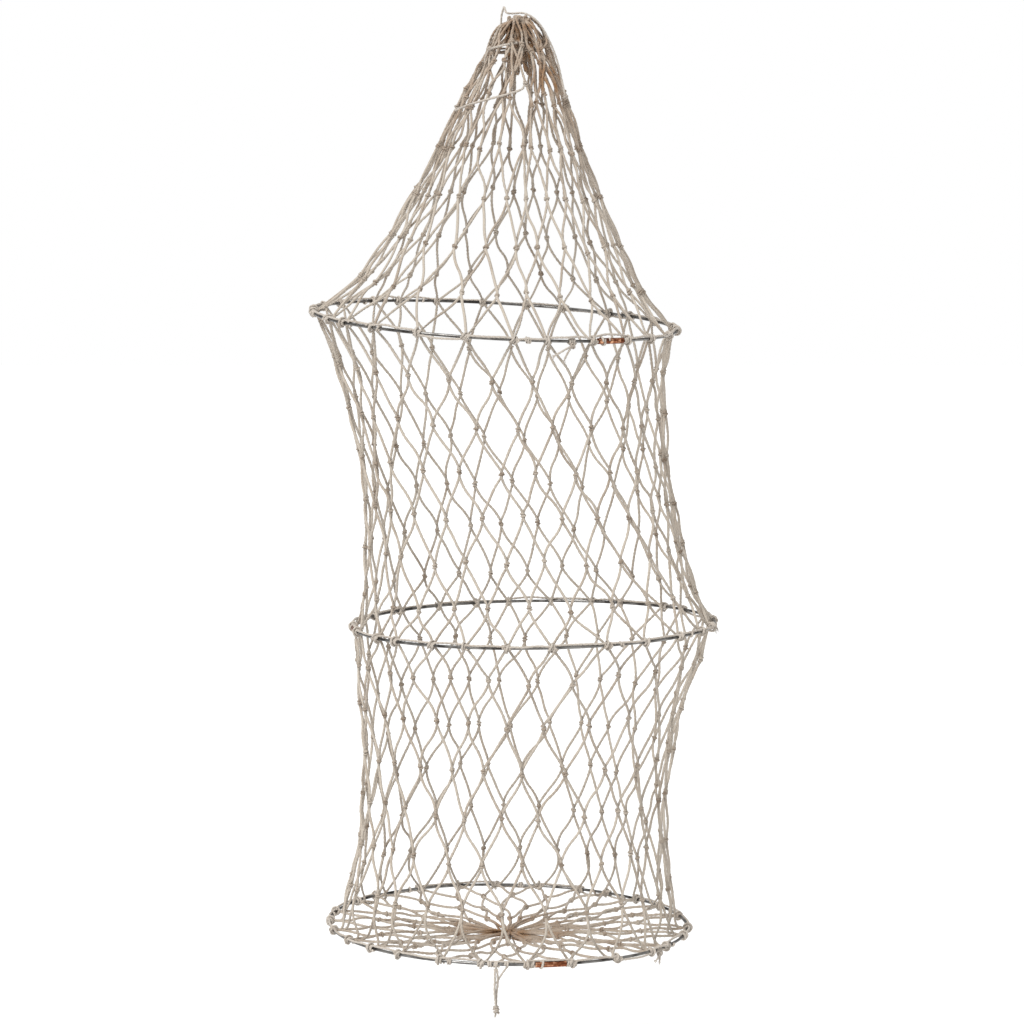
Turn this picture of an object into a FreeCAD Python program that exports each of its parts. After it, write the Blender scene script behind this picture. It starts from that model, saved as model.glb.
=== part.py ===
"""Folding crab trap: knotted twine netting on three wire hoops, hung by its gathered neck.

The origin is the hang point at the top of the neck. +Z is up and the trap hangs below it, so
every height is negative. +X is to the right and -Y is the front. Millimetres and degrees.

At rest the trap hangs at its full length. Its three hoops are held apart only by netting, so
each swings out of line a little: every hoop has its own sideways offset, roll and pitch.
"""
import FreeCAD, Part
import math
import os

V = FreeCAD.Vector
X_AXIS, Y_AXIS, Z_AXIS = V(1, 0, 0), V(0, 1, 0), V(0, 0, 1)

DIMENSIONS = {
    # wire hoops
    "hoop_radius": 150.0,
    "wire_radius": 1.2,
    "butt_gap_angle": 0.2,
    # crimped sleeve over each hoop's butt joint
    "ferrule_radius": 2.4,
    "ferrule_angle": 9.6,
    "crimp_radius": 2.2,
    "crimp_reach": 3.9,
    "crimp_angle": 2.6,
    # twine and the lashing that holds the netting to a hoop
    "twine_radius": 1.0,
    "lashing_slack": 0.1,
    "hitch_turn_angle": 0.85,
    "lashing_knot_radius": 3.2,
    "knot_flatness": 0.8,
    "knot_stretch": 1.2,
    "knot_gap": 0.15,
    # netting, as plain thin walls that weigh what the twine does
    "net_thickness": 0.9,
    "base_thickness": 1.6,
    "edge_gap": 3.2,
    # heights and sideways offsets of the hoops, with their roll and pitch
    "top_height": -256.5,
    "top_offset": -19.4,
    "top_roll": 3.15,
    "top_pitch": 3.4,
    "middle_height": -509.0,
    "middle_offset": 13.2,
    "middle_roll": -0.8,
    "middle_pitch": 0.0,
    "bottom_height": -762.5,
    "bottom_offset": -7.9,
    "bottom_roll": 1.0,
    "bottom_pitch": 0.0,
    # gathered neck
    "neck_top": -9.0,
    "neck_bottom": -41.0,
    "neck_top_radius": 16.0,
    "neck_bottom_radius": 24.0,
    "neck_wall": 4.0,
    "neck_gap": 0.3,
    "neck_tie_height": -37.0,
    "neck_tie_gap": 0.15,
    "neck_knot_gap": 3.2,
    "neck_knot_bearing": 215.0,
    "hang_loop_radius": 5.9,
    "hang_loop_bearing": 205.0,
    # base, drawn in to the middle
    "base_edge_radius": 143.0,
    "base_hole_radius": 4.0,
    "base_sag": 9.0,
    "draw_cord_radius": 3.0,
    "draw_knot_radius": 2.4,
    # tail below the front of the bottom hoop
    "tail_radius": 1.9,
    "tail_knot_radius": 2.8,
    "tail_knot_half_height": 3.6,
    "tail_knot_drop": 3.1,
}

MESHES_ROUND = 26

# between the end of a runner's stretch and the hitch beside it
RUNNER_GAP_ANGLE = 0.15

# how much of a cord's shorter run its arc may take
TRIM_SHARE = 0.45

# where each hoop's sleeve and lashing knot sit, in degrees round the hoop from +X
FERRULE_BEARING = {"top": -51.8, "middle": 188.0, "bottom": -77.0}
KNOT_BEARING = {"top": -73.0, "middle": 8.0, "bottom": -40.0}

# how far the netting stands from the axis, as (share of the way down, radius) pairs
CONE_PROFILE = [
    (0.0, 26.5), (0.16, 41.0), (0.31, 55.5), (0.46, 70.5), (0.61, 88.5), (0.76, 108.5), (0.9, 131.0),
    (1.0, 144.0),
]
UPPER_PROFILE = [
    (0.0, 145.0), (0.14, 136.0), (0.38, 130.0), (0.62, 129.0), (0.84, 134.5), (1.0, 144.5),
]
LOWER_PROFILE = [
    (0.0, 144.5), (0.14, 136.5), (0.36, 129.5), (0.56, 124.5), (0.80, 129.5), (1.0, 144.5),
]

# the loose strand lies across the front of the cone, from its left flank to its middle
LOOSE_STRAND_ROUTE = [
    V(-51.0, -9.0, -85.0),
    V(-44.0, -26.5, -82.0),
    V(-27.0, -40.5, -77.5),
    V(-10.0, -44.5, -73.5),
    V(1.0, -42.0, -70.0),
]
# the tail leaves a hitch at the front of the bottom hoop and hangs
TAIL_ROUTE = [
    V(-17.8, -153.5, -765.0),
    V(-17.2, -154.2, -775.4),
    V(-18.4, -153.8, -785.8),
    V(-17.6, -153.6, -795.4),
]

doc = FreeCAD.newDocument("FoldingCrabTrap")
sheet = doc.addObject("Spreadsheet::Sheet", "Dimensions")
for row, (alias, value) in enumerate(DIMENSIONS.items(), start=1):
    sheet.set(f"A{row}", alias)
    sheet.set(f"B{row}", str(value))
    sheet.setAlias(f"B{row}", alias)
doc.recompute()

nodes = []


def size(alias):
    """The value of one driving dimension."""
    return float(sheet.get(alias))


def add(kind, name, **bindings):
    """A document object whose properties follow expressions on the sheet."""
    item = doc.addObject(kind, name)
    for prop, expression in bindings.items():
        item.setExpression(prop, expression)
    return item


def bound(expression):
    """An expression with each sheet alias written in full."""
    words = expression.split()
    return " ".join(f"Dimensions.{w}" if w in DIMENSIONS else w for w in words)


def keep(item, node):
    """Name a finished sub-part and list it for export."""
    item.Label = node
    nodes.append(item)
    return item


def shape_feature(name, shape):
    """A feature whose shape comes from Part's own functions."""
    item = doc.addObject("Part::Feature", name)
    item.Shape = shape
    return item


def compound(name, links, placement=FreeCAD.Placement()):
    """Separate solids that are handled as one sub-part."""
    group = doc.addObject("Part::Compound", name)
    group.Links = links
    group.Placement = placement
    return group


# ---- places ----

def hoop_place(hoop):
    """The frame of one hoop: its centre, with its roll and pitch."""
    tilt = FreeCAD.Rotation(Y_AXIS, size(f"{hoop}_roll")) * FreeCAD.Rotation(X_AXIS, size(f"{hoop}_pitch"))
    return FreeCAD.Placement(V(size(f"{hoop}_offset"), 0, size(f"{hoop}_height")), tilt)


def round_hoop(bearing):
    """A turn about the hoop's own axis, from +X."""
    return FreeCAD.Placement(V(), FreeCAD.Rotation(Z_AXIS, bearing))


def on_wire(bearing):
    """A frame on the wire: its X axis points out from the hoop and its Z axis along the wire."""
    along = FreeCAD.Rotation(X_AXIS, -90)
    return round_hoop(bearing) * FreeCAD.Placement(V(size("hoop_radius"), 0, 0), along)


# ---- hoops ----

def hoop_wire(hoop):
    """One length of wire bent to a circle, butted under the sleeve."""
    wire = add(
        "Part::Torus", f"{hoop}_wire_ring",
        Radius1=bound("hoop_radius"), Radius2=bound("wire_radius"),
        Angle3=bound("360 - butt_gap_angle"),
    )
    start = FERRULE_BEARING[hoop] + size("butt_gap_angle") / 2
    wire.Placement = hoop_place(hoop) * round_hoop(start)
    return keep(wire, f"{hoop}_hoop_wire")


def hoop_ferrule(hoop):
    """A tube over the butt joint, pinched in at two places."""
    outside, bore = (
        add(
            "Part::Torus", f"{hoop}_ferrule_{name}",
            Radius1=bound("hoop_radius"), Radius2=bound(radius), Angle3=bound("ferrule_angle"),
        )
        for name, radius in (("outside", "ferrule_radius"), ("bore", "wire_radius"))
    )
    middle = size("ferrule_angle") / 2
    dents = []
    for side in (-1, 1):
        dent = add("Part::Sphere", f"{hoop}_crimp", Radius=bound("crimp_radius"))
        bearing = middle + side * size("crimp_angle")
        place = on_wire(bearing) * FreeCAD.Placement(V(size("crimp_reach"), 0, 0), FreeCAD.Rotation())
        dent.Placement = place
        dents.append(dent)
    tools = doc.addObject("Part::MultiFuse", f"{hoop}_ferrule_tools")
    tools.Shapes = [bore, *dents]
    ferrule = doc.addObject("Part::Cut", f"{hoop}_ferrule")
    ferrule.Base = outside
    ferrule.Tool = tools
    ferrule.Placement = hoop_place(hoop) * round_hoop(FERRULE_BEARING[hoop] - middle)
    return keep(ferrule, f"{hoop}_hoop_ferrule")


# ---- lashings ----

def hitch_bearings(hoop):
    """Where each mesh is tied on: even round the hoop, clear of the sleeve and the knot."""
    pitch = 360.0 / MESHES_ROUND
    start = FERRULE_BEARING[hoop] + pitch / 2
    return [start + n * pitch for n in range(MESHES_ROUND)]


def hoop_hitches(hoop):
    """Two turns of twine round the wire at every mesh."""
    turns = []
    for bearing in hitch_bearings(hoop):
        for side in (-1, 1):
            turn = add(
                "Part::Torus", f"{hoop}_hitch_turn",
                Radius1=bound("wire_radius + twine_radius + lashing_slack"),
                Radius2=bound("twine_radius"),
            )
            turn.Placement = on_wire(bearing + side * size("hitch_turn_angle") / 2)
            turns.append(turn)
    return keep(compound(f"{hoop}_hitches", turns, hoop_place(hoop)), f"{hoop}_hoop_hitches")


def hoop_runner(hoop):
    """The lashing twine between hitches, along the underside of the wire and, last, of the sleeve."""
    stretches = []
    twine_angle = math.degrees(size("twine_radius") / size("hoop_radius"))
    clear = size("hitch_turn_angle") / 2 + twine_angle + RUNNER_GAP_ANGLE
    bearings = hitch_bearings(hoop)
    for bearing in bearings:
        under = "ferrule_radius" if bearing == bearings[-1] else "wire_radius"
        stretch = add(
            "Part::Torus", f"{hoop}_runner_stretch",
            Radius1=bound("hoop_radius"), Radius2=bound("twine_radius"),
        )
        stretch.Angle3 = 360.0 / MESHES_ROUND - 2 * clear
        drop = size(under) + size("twine_radius") + size("lashing_slack")
        stretch.Placement = FreeCAD.Placement(
            V(0, 0, -drop), FreeCAD.Rotation(Z_AXIS, bearing + clear)
        )
        stretches.append(stretch)
    return keep(compound(f"{hoop}_runner", stretches, hoop_place(hoop)), f"{hoop}_hoop_runner")


def lashing_knot(hoop):
    """The knot that makes the lashing off, hanging just under the runner."""
    knot = add(
        "Part::Ellipsoid", f"{hoop}_knot",
        Radius1=bound("lashing_knot_radius * knot_flatness"),
        Radius2=bound("lashing_knot_radius * knot_stretch"),
        Radius3=bound("lashing_knot_radius"),
    )
    half_height = size("lashing_knot_radius") * size("knot_flatness")
    drop = size("wire_radius") + 2 * size("twine_radius") + half_height + size("knot_gap")
    bearings = hitch_bearings(hoop)
    between = min(bearings, key=lambda b: abs((b - KNOT_BEARING[hoop] + 180) % 360 - 180))
    bearing = between + 180.0 / MESHES_ROUND
    knot.Placement = hoop_place(hoop) * round_hoop(bearing) * FreeCAD.Placement(
        V(size("hoop_radius"), 0, -drop), FreeCAD.Rotation()
    )
    return keep(knot, f"{hoop}_lashing_knot")


# ---- netting ----

def net_wall(name, top, bottom, profile, node):
    """A thin wall lofted down a list of circles, each turned and offset between its two ends."""
    walls = []
    for part, inset in (("outside", "0"), ("inside", "net_thickness")):
        rings = []
        for share, radius in profile:
            ring = add(
                "Part::Circle", f"{name}_{part}_ring",
                Radius=bound(f"{radius} - {inset}"),
            )
            base = top.Base + (bottom.Base - top.Base) * share
            turn = top.Rotation.slerp(bottom.Rotation, share)
            ring.Placement = FreeCAD.Placement(base, turn)
            rings.append(ring)
        wall = doc.addObject("Part::Loft", f"{name}_{part}")
        wall.Sections = rings
        wall.Solid = True
        walls.append(wall)
    shell = doc.addObject("Part::Cut", f"{name}_wall")
    shell.Base, shell.Tool = walls
    return keep(shell, node)


def lowered(place, distance):
    """A frame moved down its own axis."""
    return place * FreeCAD.Placement(V(0, 0, -distance), FreeCAD.Rotation())


def nets():
    """The cone and the two walls, each clear of the hoops above and below it."""
    gap = size("edge_gap") + size("lashing_slack") + size("twine_radius")
    neck = FreeCAD.Placement(V(0, 0, size("neck_bottom") - size("neck_gap")), FreeCAD.Rotation())
    top, middle, bottom = (hoop_place(h) for h in ("top", "middle", "bottom"))
    net_wall("cone", neck, lowered(top, -gap), CONE_PROFILE, "cone_net")
    net_wall("upper", lowered(top, gap), lowered(middle, -gap), UPPER_PROFILE, "upper_net")
    net_wall("lower", lowered(middle, gap), lowered(bottom, -gap), LOWER_PROFILE, "lower_net")


def base_net():
    """The base netting as a shallow dish with a small hole where the meshes are drawn in."""
    body = doc.addObject("PartDesign::Body", "base_net_body")
    sketch = body.newObject("Sketcher::SketchObject", "base_profile")
    plane = next(f for f in body.Origin.OriginFeatures if f.Role == "XZ_Plane")
    sketch.AttachmentSupport = [(plane, "")]
    sketch.MapMode = "FlatFace"
    hole, edge = size("base_hole_radius"), size("base_edge_radius")
    sag, thick = size("base_sag"), size("base_thickness")
    corners = [V(hole, -sag, 0), V(edge, 0, 0), V(edge, thick, 0), V(hole, thick - sag, 0)]
    for start, end in zip(corners, corners[1:] + corners[:1]):
        sketch.addGeometry(Part.LineSegment(start, end), False)
    revolve = body.newObject("PartDesign::Revolution", "base_dish")
    revolve.Profile = sketch
    revolve.ReferenceAxis = (sketch, ["V_Axis"])
    revolve.Angle = 360.0
    body.Placement = hoop_place("bottom")
    return keep(body, "base_net")


def base_gather():
    """The cord that draws the base meshes in, and the knot that holds it."""
    cord = add(
        "Part::Torus", "draw_cord", Radius1=bound("draw_cord_radius"), Radius2=bound("twine_radius"),
    )
    drop = size("base_sag")
    cord.Placement = lowered(hoop_place("bottom"), drop - size("base_thickness") / 2)
    keep(cord, "base_draw_cord")
    knot = add(
        "Part::Ellipsoid", "draw_knot",
        Radius1=bound("draw_knot_radius"), Radius2=bound("draw_knot_radius"),
        Radius3=bound("draw_knot_radius"),
    )
    knot.Placement = lowered(hoop_place("bottom"), drop + size("draw_knot_radius") + size("twine_radius"))
    keep(knot, "base_draw_knot")


# ---- neck ----

def neck_bundle():
    """The gathered end meshes, as a soft hollow tube that opens at the top."""
    body = doc.addObject("PartDesign::Body", "neck_body")
    sketch = body.newObject("Sketcher::SketchObject", "neck_profile")
    plane = next(f for f in body.Origin.OriginFeatures if f.Role == "XZ_Plane")
    sketch.AttachmentSupport = [(plane, "")]
    sketch.MapMode = "FlatFace"
    top, bottom = size("neck_top"), size("neck_bottom")
    top_radius, bottom_radius = size("neck_top_radius"), size("neck_bottom_radius")
    wall = size("neck_wall")
    corners = [
        V(top_radius - wall, top, 0), V(top_radius, top, 0),
        V(bottom_radius, bottom, 0), V(bottom_radius - wall, bottom, 0),
    ]
    for start, end in zip(corners, corners[1:] + corners[:1]):
        sketch.addGeometry(Part.LineSegment(start, end), False)
    revolve = body.newObject("PartDesign::Revolution", "neck_tube")
    revolve.Profile = sketch
    revolve.ReferenceAxis = (sketch, ["V_Axis"])
    revolve.Angle = 360.0
    return keep(body, "neck_bundle")


def neck_radius_at(height):
    """The outside radius of the neck bundle at one height."""
    share = (height - size("neck_top")) / (size("neck_bottom") - size("neck_top"))
    return size("neck_top_radius") + share * (size("neck_bottom_radius") - size("neck_top_radius"))


def neck_tie():
    """Two turns of twine round the neck, with a knot at the left."""
    twine = size("twine_radius")
    turns = []
    for lift in (0, 2):
        height = size("neck_tie_height") + lift * twine
        turn = add("Part::Torus", "neck_tie_turn", Radius2=bound("twine_radius"))
        turn.Radius1 = neck_radius_at(height) + twine + size("neck_tie_gap")
        turn.Placement = FreeCAD.Placement(V(0, 0, height), FreeCAD.Rotation())
        turns.append(turn)
    keep(compound("neck_tie_turns", turns), "neck_tie")
    knot = add(
        "Part::Ellipsoid", "neck_knot",
        Radius1=bound("lashing_knot_radius * knot_flatness"),
        Radius2=bound("lashing_knot_radius * knot_flatness"),
        Radius3=bound("lashing_knot_radius"),
    )
    height = size("neck_tie_height") + twine
    half_width = size("lashing_knot_radius") * size("knot_flatness")
    reach = neck_radius_at(height) + size("neck_knot_gap") + half_width
    outwards = FreeCAD.Rotation(Z_AXIS, size("neck_knot_bearing")).multVec(V(reach, 0, 0))
    knot.Placement = FreeCAD.Placement(V(outwards.x, outwards.y, height), FreeCAD.Rotation())
    keep(knot, "neck_tie_knot")


def hang_loop():
    """A small arch of twine that stands on the rim of the neck, its two feet on the rim's middle."""
    legs = []
    radius = size("hang_loop_radius")
    top = -radius - size("twine_radius")
    arch = add(
        "Part::Torus", "hang_arch", Radius1=bound("hang_loop_radius"), Radius2=bound("twine_radius"),
    )
    arch.Angle3 = 180.0
    arch.Placement = FreeCAD.Placement(V(0, 0, top), FreeCAD.Rotation(X_AXIS, 90))
    for side in (-1, 1):
        leg = add("Part::Cylinder", "hang_leg", Radius=bound("twine_radius"))
        leg.Height = top - size("neck_top")
        leg.Placement = FreeCAD.Placement(V(side * radius, 0, size("neck_top")), FreeCAD.Rotation())
        legs.append(leg)
    loop = doc.addObject("Part::MultiFuse", "hang_loop_solid")
    loop.Shapes = [arch, *legs]
    reach = math.sqrt((size("neck_top_radius") - size("neck_wall") / 2) ** 2 - radius**2)
    across = FreeCAD.Rotation(Z_AXIS, 90)
    loop.Placement = FreeCAD.Placement(V(), FreeCAD.Rotation(Z_AXIS, size("hang_loop_bearing"))) * (
        FreeCAD.Placement(V(reach, 0, 0), across)
    )
    return keep(loop, "hang_loop")


# ---- cords ----

def rounded_path(points):
    """Straight runs joined by tangent arcs, each arc as large as its two runs allow."""
    edges = []
    start = points[0]
    radii = []
    for before, corner, after in zip(points, points[1:], points[2:]):
        back, ahead = (before - corner), (after - corner)
        trim = TRIM_SHARE * min(back.Length, ahead.Length)
        back.normalize()
        ahead.normalize()
        turn = math.pi - back.getAngle(ahead)
        radius = trim / math.tan(turn / 2)
        radii.append(round(radius, 1))
        enter, leave = corner + back * trim, corner + ahead * trim
        inwards = back + ahead
        inwards.normalize()
        centre_reach = math.hypot(radius, trim)
        mid = corner + inwards * (centre_reach - radius)
        edges.append(Part.LineSegment(start, enter).toShape())
        edges.append(Part.Arc(enter, mid, leave).toShape())
        start = leave
    edges.append(Part.LineSegment(start, points[-1]).toShape())
    return Part.Wire(edges), radii


def cord_tube(name, route, radius, node):
    """A plain tube along a cord's route."""
    path, radii = rounded_path(route)
    direction = route[1] - route[0]
    section = Part.Wire(Part.makeCircle(radius, route[0], direction))
    tube = path.makePipeShell([section], True, True)
    expected = math.pi * radius**2 * path.Length
    print(f"{node}: length {path.Length:.1f}, radii {radii}, volume ratio {tube.Volume / expected:.4f}")
    return keep(shape_feature(name, tube), node)


def tail():
    """The doubled twine that hangs below the front of the bottom hoop, with the knot at its end."""
    cord_tube("tail_tube", TAIL_ROUTE, size("tail_radius"), "tail_cord")
    knot = add(
        "Part::Ellipsoid", "tail_knot",
        Radius1=bound("tail_knot_half_height"), Radius2=bound("tail_knot_radius"),
        Radius3=bound("tail_knot_radius"),
    )
    end = TAIL_ROUTE[-1]
    knot.Placement = FreeCAD.Placement(
        V(end.x, end.y, end.z - size("tail_knot_drop")), FreeCAD.Rotation()
    )
    keep(knot, "tail_end_knot")


for hoop in ("top", "middle", "bottom"):
    hoop_wire(hoop)
    hoop_ferrule(hoop)
    hoop_hitches(hoop)
    hoop_runner(hoop)
    lashing_knot(hoop)
nets()
base_net()
base_gather()
neck_bundle()
neck_tie()
hang_loop()
cord_tube("loose_strand_tube", LOOSE_STRAND_ROUTE, size("twine_radius"), "neck_loose_strand")
tail()

doc.recompute()
for item in doc.Objects:
    if "Invalid" in item.State or "Error" in item.State:
        raise RuntimeError(f"{item.Name} failed: {item.State}")
os.makedirs("parts", exist_ok=True)
for item in nodes:
    shape = item.Shape
    if shape.isNull() or not shape.isValid() or not shape.Solids:
        raise RuntimeError(f"{item.Label} has no valid solid")
    shape.exportStep(f"parts/{item.Label}.step")
    box = shape.BoundBox
    print(
        f"{item.Label}: {len(shape.Solids)} solids, {shape.Volume:.0f} mm3, "
        f"z {box.ZMin:.1f} to {box.ZMax:.1f}"
    )
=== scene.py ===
"""Folding crab trap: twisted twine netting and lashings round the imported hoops.

The netting is laid as the real one is: strands that run down from hitch to hitch, tied where
they cross. Lengths are in metres, and MM turns a size in millimetres into one.
"""
import math
import random

import bmesh
import bpy
import numpy as np
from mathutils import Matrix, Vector


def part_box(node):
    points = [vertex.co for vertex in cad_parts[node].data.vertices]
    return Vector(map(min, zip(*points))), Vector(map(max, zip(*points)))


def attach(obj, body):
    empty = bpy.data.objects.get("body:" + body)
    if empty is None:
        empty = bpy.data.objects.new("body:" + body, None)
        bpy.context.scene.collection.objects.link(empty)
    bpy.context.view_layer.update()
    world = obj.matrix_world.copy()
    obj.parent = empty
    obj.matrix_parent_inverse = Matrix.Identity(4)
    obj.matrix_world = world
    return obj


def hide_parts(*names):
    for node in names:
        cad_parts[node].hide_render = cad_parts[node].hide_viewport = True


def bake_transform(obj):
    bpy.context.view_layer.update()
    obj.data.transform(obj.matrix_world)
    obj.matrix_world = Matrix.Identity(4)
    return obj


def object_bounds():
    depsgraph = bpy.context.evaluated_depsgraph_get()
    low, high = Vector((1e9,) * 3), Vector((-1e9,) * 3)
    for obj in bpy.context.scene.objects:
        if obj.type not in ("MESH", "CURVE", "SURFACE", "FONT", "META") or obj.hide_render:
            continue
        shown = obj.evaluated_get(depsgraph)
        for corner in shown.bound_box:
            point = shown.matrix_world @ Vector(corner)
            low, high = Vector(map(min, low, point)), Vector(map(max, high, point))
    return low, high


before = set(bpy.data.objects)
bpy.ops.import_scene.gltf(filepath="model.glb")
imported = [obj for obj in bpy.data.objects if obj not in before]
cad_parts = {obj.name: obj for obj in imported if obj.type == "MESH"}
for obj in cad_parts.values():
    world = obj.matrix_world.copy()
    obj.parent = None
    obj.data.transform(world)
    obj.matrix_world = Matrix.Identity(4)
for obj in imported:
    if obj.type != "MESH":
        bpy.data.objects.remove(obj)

cad_low, cad_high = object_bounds()

MM = 0.001
TWINE_RADIUS = 1.05 * MM
PLY_LAY = 8.0 * MM          # length in which the two plies turn once round each other
RING_STEP = 1.3 * MM        # between the rings of a netting strand's mesh
FINE_STEP = 0.9 * MM        # the same for lashings and ties, which bend more tightly
MESHES_ROUND = 26
PITCH = 2 * math.pi / MESHES_ROUND
HOOPS = ("top", "middle", "bottom")
UP = Vector((0, 0, 1))

# the routes of the two free cords
LOOSE_STRAND_ROUTE = [
    (-0.0510, -0.0090, -0.0850), (-0.0440, -0.0265, -0.0820), (-0.0270, -0.0405, -0.0775),
    (-0.0100, -0.0445, -0.0735), (0.0010, -0.0420, -0.0700),
]
TAIL_ROUTE = [
    (-0.0178, -0.1535, -0.7650), (-0.0172, -0.1542, -0.7754), (-0.0184, -0.1538, -0.7858),
    (-0.0176, -0.1536, -0.7954),
]
# the slack end of the hang loop, in mm: over the crown and down the right flank to the netting
SLACK_END = [
    (-4, -5, -6.5), (5, -6, -5.5), (16, -8, -12), (25, -9, -27), (32, -10, -44), (36, -11, -62),
    (38.5, -12, -74),
]

random.seed(26)


# ---- where the frame's hoops are ----

def middle_of(name):
    """The middle of a CAD node's box."""
    low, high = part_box(name)
    return (Vector(low) + Vector(high)) / 2


class Level:
    """A place that netting is drawn to: a centre with axes of its own."""

    def __init__(self, centre, up=UP):
        self.centre = centre
        self.set_axes(up)

    def set_axes(self, up):
        """Axes from the way up: across is the side that +X is on, and back the side that +Y is on."""
        self.up = up
        self.across = (Vector((1, 0, 0)) - up * up.x).normalized()
        self.back = up.cross(self.across)

    def bearing(self, point):
        """The bearing of a point round this centre, from its +X side."""
        offset = point - self.centre
        return math.atan2(offset.dot(self.back), offset.dot(self.across))

    def point(self, bearing, radius, up=0.0):
        """A point at a bearing and a radius from this centre's axis."""
        flat = self.across * math.cos(bearing) + self.back * math.sin(bearing)
        return self.centre + flat * radius + self.up * up


class Hoop(Level):
    """One wire hoop: its centre, its axes, its radius and where its sleeve and its knot are."""

    def __init__(self, name):
        points = np.array([v.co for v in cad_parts[f"{name}_hoop_wire"].data.vertices])
        self.name = name
        self.centre = middle_of(f"{name}_hoop_wire")
        spread = points - np.array(self.centre)
        axis = Vector(np.linalg.svd(spread.T @ spread)[0][:, 2])
        self.set_axes(axis if axis.z > 0 else -axis)
        flat = spread - np.outer(spread @ np.array(self.up), np.array(self.up))
        reach = np.linalg.norm(flat, axis=1)
        self.radius = (reach.min() + reach.max()) / 2
        self.wire = (reach.max() - reach.min()) / 2
        self.sleeve = self.bearing(middle_of(f"{name}_hoop_ferrule"))
        self.knot = self.bearing(middle_of(f"{name}_lashing_knot"))

    def round_wire(self, bearing, angle, reach):
        """A point beside the wire: angle 0 is outwards and a quarter turn is up."""
        return self.point(bearing, self.radius + reach * math.cos(angle), reach * math.sin(angle))


hoops = {name: Hoop(name) for name in HOOPS}


# ---- materials ----

def linear(hex_colour):
    """An sRGB hex colour as linear RGBA."""
    channels = [int(hex_colour[i:i + 2], 16) / 255 for i in (1, 3, 5)]
    return [c / 12.92 if c <= 0.04045 else ((c + 0.055) / 1.055) ** 2.4 for c in channels] + [1.0]


def node(tree, kind, settings=(), inputs=(), links=()):
    """Add a node with its settings, its input values and the sockets linked into it."""
    made = tree.nodes.new(kind)
    for name, value in dict(settings).items():
        setattr(made, name, value)
    for name, value in dict(inputs).items():
        made.inputs[name].default_value = value
    for name, socket in dict(links).items():
        tree.links.new(socket, made.inputs[name])
    return made


def ramp(tree, factor, stops):
    """A colour ramp over (position, hex colour) stops."""
    made = node(tree, "ShaderNodeValToRGB", links={"Fac": factor})
    elements = made.color_ramp.elements
    while len(elements) < len(stops):
        elements.new(0.5)
    for element, (position, colour) in zip(elements, stops):
        element.position = position
        element.color = linear(colour)
    return made.outputs["Color"]


def new_material(name):
    """An empty material with its tree, its shader and the piece's own coordinates."""
    material = bpy.data.materials.new(name)
    material.use_nodes = True
    tree = material.node_tree
    shader = next(n for n in tree.nodes if n.type == "BSDF_PRINCIPLED")
    place = node(tree, "ShaderNodeTexCoord").outputs["Object"]
    return material, tree, shader, place


def cloud(tree, place, length, detail):
    """A cloudy pattern whose patches have a given length."""
    made = node(
        tree, "ShaderNodeTexNoise", inputs={"Scale": 1 / length, "Detail": detail}, links={"Vector": place}
    )
    return made.outputs["Fac"]


def cotton_twine(name, light, middle, dark, browned=None):
    """Spun cotton twine: dull and slightly hairy, each strand its own tone of undyed cotton, and the knots
    a darker tone that is painted shade.
    """
    material, tree, shader, place = new_material(name)
    lengths = cloud(tree, place, 22 * MM, 3.0)
    fibres = cloud(tree, place, 0.9 * MM, 2.0)      # coarser than cotton's own, so that they show
    mixed = node(
        tree, "ShaderNodeMix", {"data_type": "FLOAT"}, {"Factor": 0.45},
        {"A": lengths, "B": fibres},
    )
    tone = node(tree, "ShaderNodeAttribute", {"attribute_name": "tone"})
    # a browner strand is read from further down the ramp; the knots' browner tone is painted shade
    shade = node(
        tree, "ShaderNodeMath", {"operation": "MULTIPLY_ADD"}, {1: -0.45},
        {0: tone.outputs["Fac"], 2: mixed.outputs["Result"]},
    )
    colour = ramp(tree, shade.outputs["Value"], [(0.0, dark), (0.2, middle), (0.42, light)])
    # the brown mixed in here is browning, and deep in the neck it is painted shade
    if browned:
        strength = browned(tree, place)
        mix = node(tree, "ShaderNodeMix", {"data_type": "RGBA"}, links={"Factor": strength, 6: colour})
        mix.inputs[7].default_value = linear(SHADE_AND_BROWNING_COLOUR)
        colour = mix.outputs[2]
    tree.links.new(colour, shader.inputs["Base Color"])
    bump = node(
        tree, "ShaderNodeBump", inputs={"Strength": 0.45, "Distance": 0.3 * MM},
        links={"Height": fibres},
    )
    tree.links.new(bump.outputs["Normal"], shader.inputs["Normal"])
    shader.inputs["Roughness"].default_value = 0.9
    shader.inputs["Sheen Weight"].default_value = 0.2
    shader.inputs["Sheen Roughness"].default_value = 0.5
    shader.inputs["Specular IOR Level"].default_value = 0.25
    return material


def patches(tree, place, length, least):
    """Patches of a given length, from a least strength up to 1."""
    return node(
        tree, "ShaderNodeMapRange", inputs={"From Min": 0.4, "From Max": 0.6, "To Min": least},
        links={"Value": cloud(tree, place, length, 2.0)},
    ).outputs["Result"]


def combined(tree, operation, *sockets):
    """Several sockets in one: their product, or the greatest of them."""
    total = sockets[0]
    for socket in sockets[1:]:
        pair = node(tree, "ShaderNodeMath", {"operation": operation}, links={0: total, 1: socket})
        total = pair.outputs["Value"]
    return total


def nearness(tree, place, centre, full, none):
    """How near the surface is to a point: 1 within one distance of it, down to 0 at another."""
    away = node(tree, "ShaderNodeVectorMath", {"operation": "DISTANCE"}, links={0: place})
    away.inputs[1].default_value = centre
    return node(
        tree, "ShaderNodeMapRange", {"interpolation_type": "SMOOTHSTEP"},
        {"From Min": none, "From Max": full}, {"Value": away.outputs["Value"]},
    ).outputs["Result"]


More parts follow.
